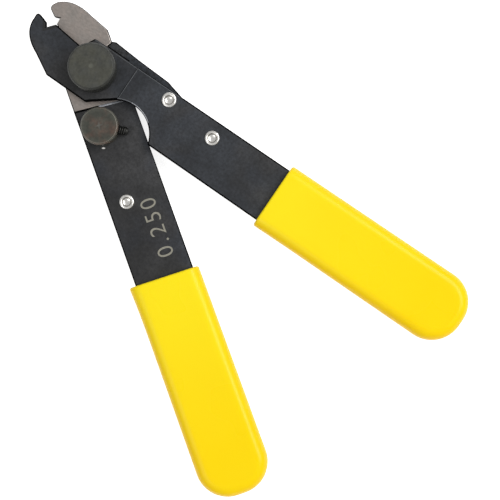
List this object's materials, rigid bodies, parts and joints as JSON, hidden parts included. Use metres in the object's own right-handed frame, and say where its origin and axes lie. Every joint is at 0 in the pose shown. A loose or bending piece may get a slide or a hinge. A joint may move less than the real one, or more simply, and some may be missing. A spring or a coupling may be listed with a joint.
{
  "type": "fibre stripper",
  "caption": "Hand stripper for optical fibre: two crossed flat steel levers on one pivot, hooked jaws with V notches, dipped grips, spring return and a set-screw closing stop.",
  "frame": {"origin": "on the pivot axis, at the back face of the pivot screw's head, which is the plane the tool lies on", "axes": "+Z along the pivot axis out of the front face; +Y towards the jaws and -Y towards the handles, on the line halfway between the open handles; +X to the right seen from the front"},
  "size_m": [0.089, 0.1369, 0.0122],
  "materials": {
    "rear_lever": "satin black oxide, head ground bright",
    "front_lever": "satin black oxide",
    "stop_plate": "rough black oxide",
    "pivot_screw": "black oxide",
    "pivot_sleeve": "ground",
    "spring_spacer": "turned",
    "cap_washer": "black oxide",
    "pivot_cap": "turned, black oxide",
    "spring_wire": "drawn spring wire",
    "rivets": "nickel plated",
    "stop_post": "turned, brown-black oxide",
    "stop_screw": "black oxide",
    "grips": "dipped vinyl, semi-gloss"
  },
  "bodies": {
    "rear_handle": {"rear_lever": "rear_lever", "rear_grip": "grips", "pivot_screw": "pivot_screw", "pivot_sleeve": "pivot_sleeve", "spring_spacer": "spring_spacer", "cap_washer": "cap_washer", "pivot_cap": "pivot_cap", "return_spring": "spring_wire", "anchor_rivet": "rivets", "stop_post": "stop_post"},
    "front_handle": {"front_lever": "front_lever", "front_grip": "grips", "stop_plate": "stop_plate", "near_rivet": "rivets", "far_rivet": "rivets"},
    "closing_stop": {"stop_screw": "stop_screw"}
  },
  "joints": [
    {"name": "handles", "type": "hinge", "parent": "rear_handle", "child": "front_handle", "pos_m": [0, 0, 0.0042], "axis": [0, 0, -1], "range_deg": [0, 16.3], "stiffness_Nm_per_rad": 0.15, "springref_deg": -45.84, "deforming": ["return_spring"]},
    {"name": "closing_stop_setting", "type": "slide", "parent": "rear_handle", "child": "closing_stop", "axis": [0.6769, -0.7361, 0], "range_m": [-0.0008, 0]}
  ]
}
